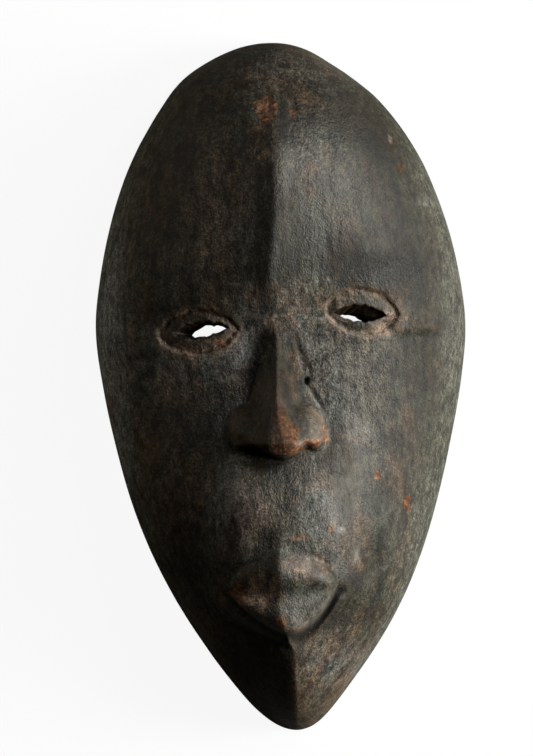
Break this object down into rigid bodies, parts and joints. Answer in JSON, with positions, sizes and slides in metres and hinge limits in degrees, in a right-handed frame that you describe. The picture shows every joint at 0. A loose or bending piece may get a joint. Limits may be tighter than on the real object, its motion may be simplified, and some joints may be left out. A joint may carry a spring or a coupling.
{
  "type": "dan mask",
  "caption": "Carved wooden face mask with an oval face, keeled forehead, wedge nose, pointed chin and pierced eyes, hollow behind, lying on its flat rim.",
  "frame": {"origin": "on the plane of the flat rim, under the middle of the mask's outline", "axes": "+Z out of the face, +Y along the face towards the crown, +X towards the right of a viewer who looks at the face"},
  "size_m": [0.129, 0.24, 0.066],
  "materials": {
    "dark_wood": "dark brown to black patina, semi-matte, worn to reddish brown on the nose tip, lips and small chips"
  },
  "bodies": {
    "root": {"carved_mask": "dark_wood"}
  },
  "joints": []
}
